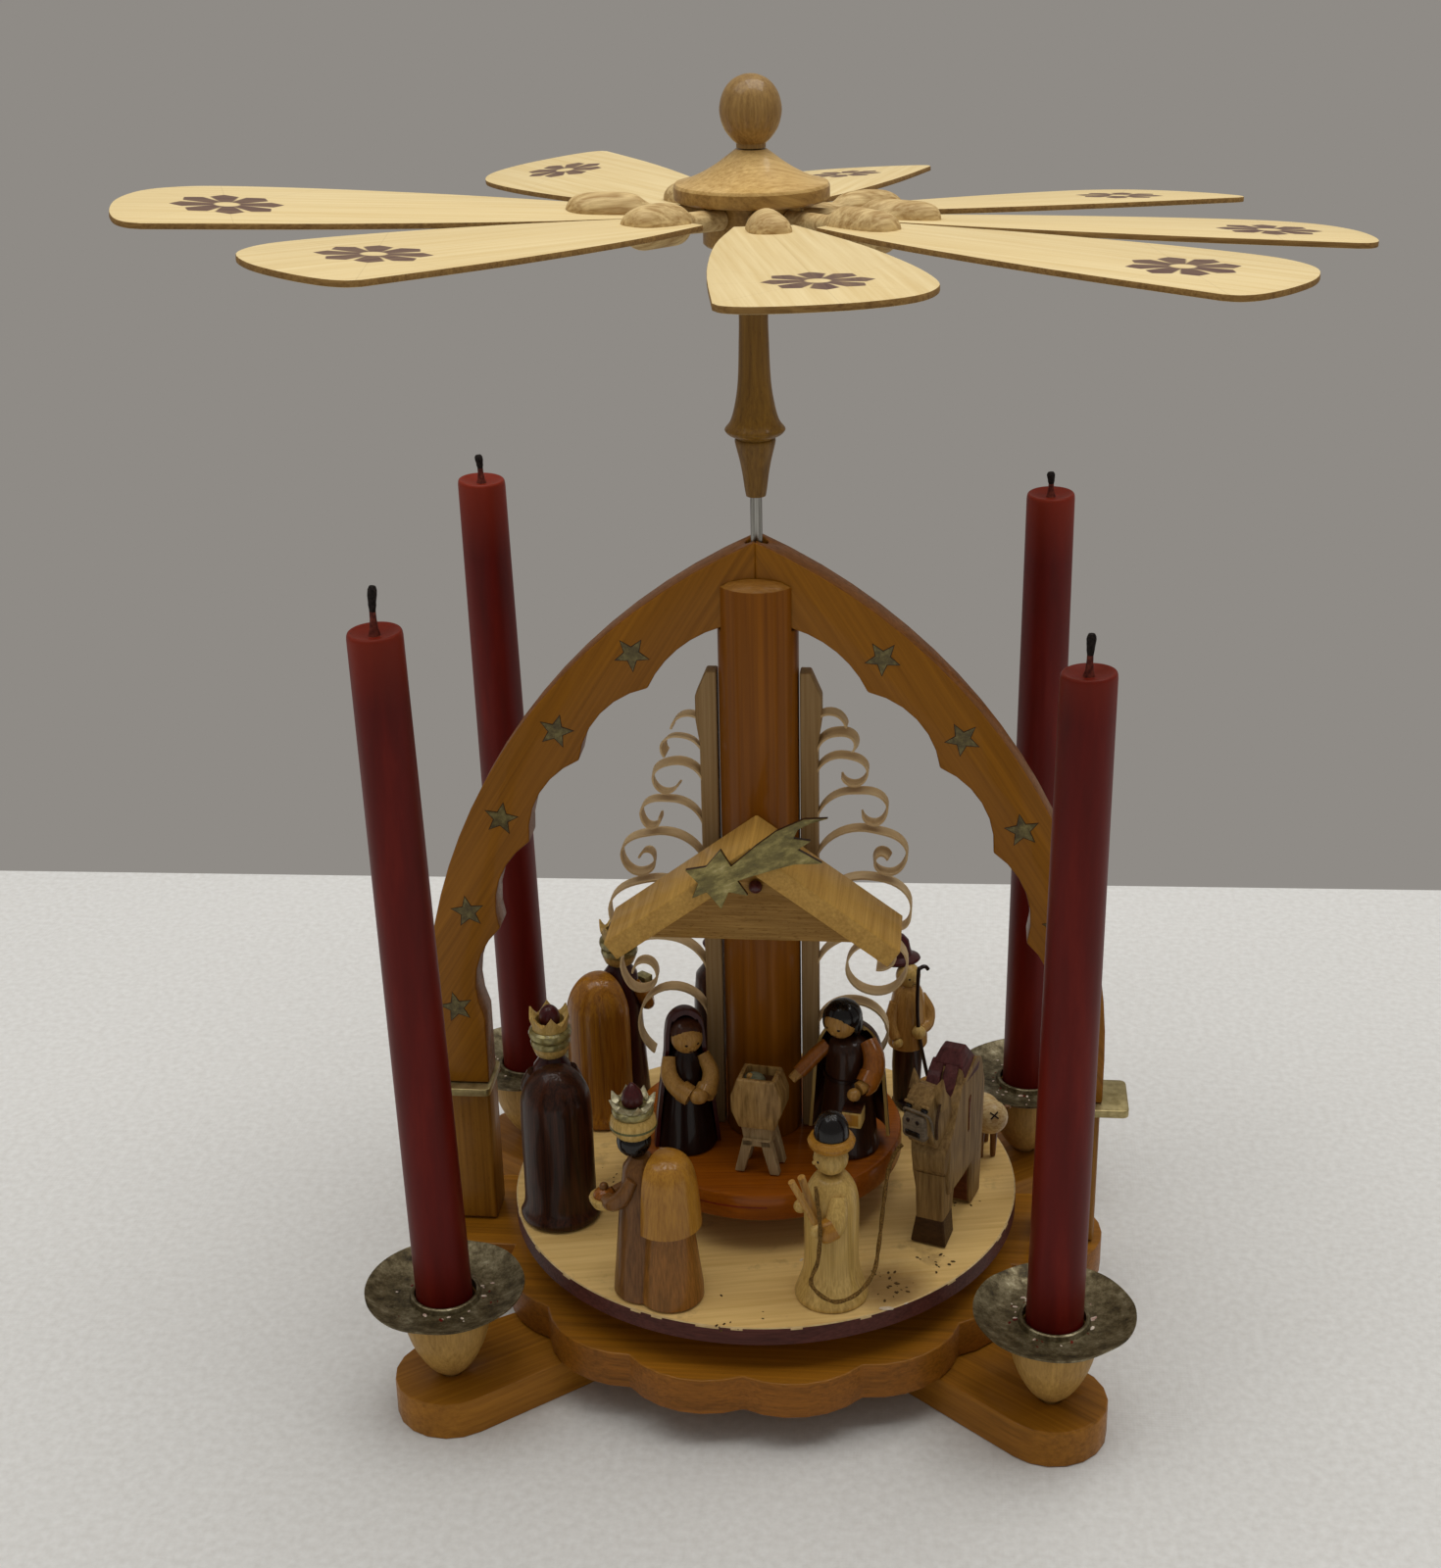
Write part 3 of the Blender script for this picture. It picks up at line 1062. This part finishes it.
def build_camel(rotor):
    """Camel sawn from one board: legs, chest, raised head and the saddled hump."""
    place = stand("camel", TURNTABLE_RADIUS - CAMEL_INSET, -17.3, -108.0, TURNTABLE_TOP, rotor)
    outline = [(-0.44, 0.0), (-0.20, 0.0), (-0.16, 0.28), (0.10, 0.28), (0.20, 0.0), (0.44, 0.0),
               (0.41, 0.16), (0.44, 0.42), (0.40, 0.66), (0.56, 0.64), (0.60, 0.74), (0.56, 0.86),
               (0.50, 0.99), (0.40, 1.0), (0.32, 0.90), (0.22, 0.80), (0.12, 0.90), (0.02, 0.998),
               (-0.12, 1.0), (-0.22, 0.90), (-0.36, 0.86), (-0.43, 0.70), (-0.42, 0.30)]
    shape = [(x * CAMEL_LENGTH, z * CAMEL_HEIGHT) for x, z in outline]
    half = CAMEL_THICK / 2
    body = prism("camel", [shape], -half, half, "grey_wood", True, place)
    far = CAMEL_LENGTH
    head = 0.34 * CAMEL_LENGTH
    slim = CAMEL_THICK * 0.33
    for side in (-1, 1):
        low = (head, min(side * slim, side * far), CAMEL_HEIGHT * 0.62)
        high = (far, max(side * slim, side * far), CAMEL_HEIGHT * 1.2)
        cut(body, block(low, high), "cheek_%d" % side)


def build_shepherd(rotor):
    """Shepherd in trousers and short jacket with a wide hat, leaning on a thin staff."""
    place = stand("shepherd", TURNTABLE_RADIUS - SHEPHERD_INSET, 47.8, -58.0, TURNTABLE_TOP, rotor)
    shape = [(0.0, 1.0), (0.40, 0.985), (0.58, 0.87), (1.04, 0.85), (0.62, 0.81), (0.62, 0.76),
             (0.42, 0.735), (0.76, 0.68), (0.86, 0.58), (0.96, 0.39), (0.66, 0.37), (0.0, 0.36)]
    body = turned("shepherd", scaled(shape, SHEPHERD_RADIUS, SHEPHERD_HEIGHT), SMALL, "brown_stain",
                  place)
    hip = SHEPHERD_HEIGHT * 0.38
    for side in (-1, 1):
        y = side * SHEPHERD_RADIUS * 0.36
        join(body, rod_between((0, y, 0), (0, y, hip), SHEPHERD_RADIUS * 0.33,
                               SHEPHERD_RADIUS * 0.37), "leg_%d" % side)
        join(body, block((-SHEPHERD_RADIUS * 0.26, y - SHEPHERD_RADIUS * 0.29, 0),
                         (SHEPHERD_RADIUS * 0.65, y + SHEPHERD_RADIUS * 0.29,
                          SHEPHERD_RADIUS * 0.35)), "boot_%d" % side)
    hand = Vector((SHEPHERD_RADIUS * 1.05, 0.0, SHEPHERD_HEIGHT * 0.50))
    arm(body, (0.0, SHEPHERD_RADIUS * 0.72, SHEPHERD_HEIGHT * 0.64),
        (SHEPHERD_RADIUS * 0.3, SHEPHERD_RADIUS * 1.0, SHEPHERD_HEIGHT * 0.50), hand,
        SHEPHERD_RADIUS * 0.26, "staff_arm")
    arm(body, (0.0, -SHEPHERD_RADIUS * 0.72, SHEPHERD_HEIGHT * 0.64),
        (SHEPHERD_RADIUS * 0.1, -SHEPHERD_RADIUS * 1.0, SHEPHERD_HEIGHT * 0.50),
        (SHEPHERD_RADIUS * 0.6, -SHEPHERD_RADIUS * 0.8, SHEPHERD_HEIGHT * 0.42),
        SHEPHERD_RADIUS * 0.26, "free_arm")
    staff_foot = Vector((hand.x, SHEPHERD_RADIUS * 0.95, 0.0))
    staff_top = Vector((hand.x, -SHEPHERD_RADIUS * 0.1, SHEPHERD_HEIGHT * 0.90))
    join(body, rod_between(staff_foot, hand, STAFF_RADIUS, STAFF_RADIUS, 8), "staff_foot")
    join(body, rod_between(hand, staff_top, STAFF_RADIUS, STAFF_RADIUS, 8), "staff_top")


def build_sheep(rotor):
    """Small sheep behind the camel, a body with head and four legs."""
    place = stand("sheep", TURNTABLE_RADIUS - SHEEP_INSET, 16.5, -76.0, TURNTABLE_TOP, rotor)
    middle = SHEEP_HEIGHT * 0.58
    sheep = add_object("sheep", ball((0, 0, middle), SHEEP_LENGTH / 2,
                                     (1.0, SHEEP_THICK / SHEEP_LENGTH, 0.52)), "pale_figure", place)
    join(sheep, ball((SHEEP_LENGTH * 0.42, 0, SHEEP_HEIGHT * 0.80), SHEEP_THICK * 0.38,
                     (1.25, 0.9, 1.0), 10), "sheep_head")
    for x in (-0.27, 0.27):
        for y in (-0.24, 0.24):
            foot = Vector((x * SHEEP_LENGTH, y * SHEEP_THICK, 0))
            join(sheep, rod_between(foot, foot + Vector((0, 0, middle)), SHEEP_THICK * 0.11,
                                    SHEEP_THICK * 0.15, 8), "sheep_leg")


def build_mary():
    """Kneeling mother, her hands folded."""
    place = stand("mary", COLUMN_RADIUS + MARY_FROM_COLUMN, -148.6, -75.0, STAGE_TOP)
    shape = [(0.0, 1.0), (0.28, 0.985), (0.51, 0.93), (0.59, 0.84), (0.64, 0.68), (0.80, 0.43),
             (0.94, 0.17), (1.0, 0.0), (0.0, 0.0)]
    body = turned("mary", scaled(shape, MARY_RADIUS, MARY_HEIGHT), SMALL, "plum_stain", place)
    join(body, ball((MARY_RADIUS * 0.30, 0, MARY_HEIGHT * 0.775), MARY_RADIUS * 0.40, segments=8),
         "face")
    hands = (MARY_RADIUS * 0.98, MARY_RADIUS * 0.04, MARY_HEIGHT * 0.38)
    for side in (-1, 1):
        arm(body, (MARY_RADIUS * 0.15, side * MARY_RADIUS * 0.56, MARY_HEIGHT * 0.60),
            (MARY_RADIUS * 0.55, side * MARY_RADIUS * 0.70, MARY_HEIGHT * 0.46), hands,
            MARY_RADIUS * 0.22, "mary_arm_%d" % side)


def build_joseph():
    """Father in a long robe, one hand open towards the crib, a lantern below the other."""
    place = stand("joseph", COLUMN_RADIUS + JOSEPH_FROM_COLUMN, -24.6, -100.0, STAGE_TOP)
    shape = [(0.0, 0.77), (0.34, 0.74), (0.60, 0.69), (0.78, 0.40), (0.95, 0.12), (1.0, 0.0),
             (0.0, 0.0)]
    body = turned("joseph", scaled(shape, JOSEPH_RADIUS, JOSEPH_HEIGHT), SMALL, "dark_stain", place)
    head = JOSEPH_HEIGHT * 0.135
    join(body, ball((JOSEPH_RADIUS * 0.11, -JOSEPH_RADIUS * 0.20, JOSEPH_HEIGHT - head), head,
                    (0.80, 0.80, 1.0)), "head")
    grip = lantern_grip()
    arm(body, (JOSEPH_RADIUS * 0.09, JOSEPH_RADIUS * 0.60, JOSEPH_HEIGHT * 0.66),
        (JOSEPH_RADIUS * 0.55, JOSEPH_RADIUS * 0.85, JOSEPH_HEIGHT * 0.53), grip,
        JOSEPH_RADIUS * 0.21, "lantern_arm")
    arm(body, (JOSEPH_RADIUS * 0.09, -JOSEPH_RADIUS * 0.60, JOSEPH_HEIGHT * 0.66),
        (JOSEPH_RADIUS * 0.40, -JOSEPH_RADIUS * 1.15, JOSEPH_HEIGHT * 0.57),
        (JOSEPH_RADIUS * 0.75, -JOSEPH_RADIUS * 1.55, JOSEPH_HEIGHT * 0.48),
        JOSEPH_RADIUS * 0.21, "open_arm")
    half = LANTERN_WIDTH / 2
    centre = (grip[0] + JOSEPH_RADIUS * 0.05, grip[1])
    lantern = add_object("lantern", block(
        (centre[0] - half, centre[1] - half, LANTERN_LIFT),
        (centre[0] + half, centre[1] + half, LANTERN_LIFT + LANTERN_HEIGHT)), "pale_figure", place)
    soften(lantern, 0.0003)


def lantern_grip():
    """Centre of the lantern hand in that figure's frame, just above the lantern's top."""
    hand_radius = JOSEPH_RADIUS * 0.21 * 0.95
    level = LANTERN_LIFT + LANTERN_HEIGHT + GAP + hand_radius
    return (JOSEPH_RADIUS * 0.80 + LANTERN_WIDTH / 2 + GAP * 3, JOSEPH_RADIUS * 0.44, level)


def build_crib():
    """Trough with bulging sides on two pairs of splayed legs, sawn from one block."""
    half = [(0.74, 0.97), (1.0, 0.69), (0.97, 0.50), (0.60, 0.41), (0.61, 0.30), (0.86, 0.0),
            (0.42, 0.0), (0.24, 0.25)]
    outline = [(-0.74, 0.97)] + half + [(-x, z) for x, z in half[:0:-1]]
    front = COLUMN_RADIUS + CRIB_FROM_COLUMN + CRIB_DEPTH
    place = empty("place_crib", (CRIB_WIDTH / 16, -front, STAGE_TOP + GAP))
    shape = [(x * CRIB_WIDTH / 2, z * CRIB_HEIGHT) for x, z in reversed(outline)]
    crib = prism("crib", [shape], 0.0, CRIB_DEPTH, "pale_figure", True, place)
    floor = CRIB_HEIGHT * 0.86
    inner = CRIB_WIDTH * 0.26
    cut(crib, block((-inner, CRIB_WALL, floor),
                    (inner, CRIB_DEPTH - CRIB_WALL, CRIB_HEIGHT * 1.2)), "trough")


def build_rope(rotor):
    """Twine lead: from the leader's hand it hangs in a loop before his robe, then rises to the
    camel's muzzle. Its short tail stands up beside the hand."""
    leader = bpy.data.objects["place_camel_leader"].matrix_basis
    beside = Vector((0, LEADER_RADIUS * 0.17 + ROPE_RADIUS + GAP, 0))
    hand = leader @ (Vector(leader_hand()) + beside)
    route = [hand + Vector(step) * MM for step in ((-1.0, -0.8, 15.0), (-0.2, -0.6, 7.0),
                                                   (0.0, 0.0, 0.0), (-0.6, -0.4, -7.5))]
    route += [Vector(p) * MM for p in ((17.5, -67.8, 48.5), (22.8, -69.3, 44.6), (28.6, -67.5, 45.4),
                                       (33.0, -61.0, 47.6), (34.2, -53.0, 51.5), (35.0, -46.5, 58.5),
                                       (36.0, -42.2, 66.0), (37.8, -40.2, 71.0), (39.6, -39.6, 73.2))]
    points = smooth(route, 3)
    curve = bpy.data.curves.new("lead", "CURVE")
    curve.dimensions = "3D"
    curve.bevel_depth = ROPE_RADIUS
    curve.bevel_resolution = 2
    curve.use_fill_caps = True
    spline = curve.splines.new("POLY")
    spline.points.add(len(points) - 1)
    for point, place in zip(spline.points, points):
        point.co = (*place, 1.0)
    source = bpy.data.objects.new("lead", curve)
    add_object("lead_rope", baked(source), "twine", rotor)


empty_scene()
PARTS = new_collection("christmas_pyramid")
TOOLS = new_collection("cutters")
build_arms()
build_plate()
build_bearing()
build_posts()
build_arch()
build_stage()
build_column()
build_strips()
build_roof()
build_comet()
for WORD in CANDLE_PLACES:
    build_candle(WORD)
build_mary()
build_joseph()
build_crib()
ROTOR = empty("rotor_axis", (0, 0, 0))
build_rod()
build_spindle()
build_hub()
build_finial()
build_turntable()
build_blades(ROTOR)
build_kings(ROTOR)
build_moor_king(ROTOR)
build_servant(ROTOR)
build_leader(ROTOR)
build_camel(ROTOR)
build_shepherd(ROTOR)
build_sheep(ROTOR)
build_rope(ROTOR)
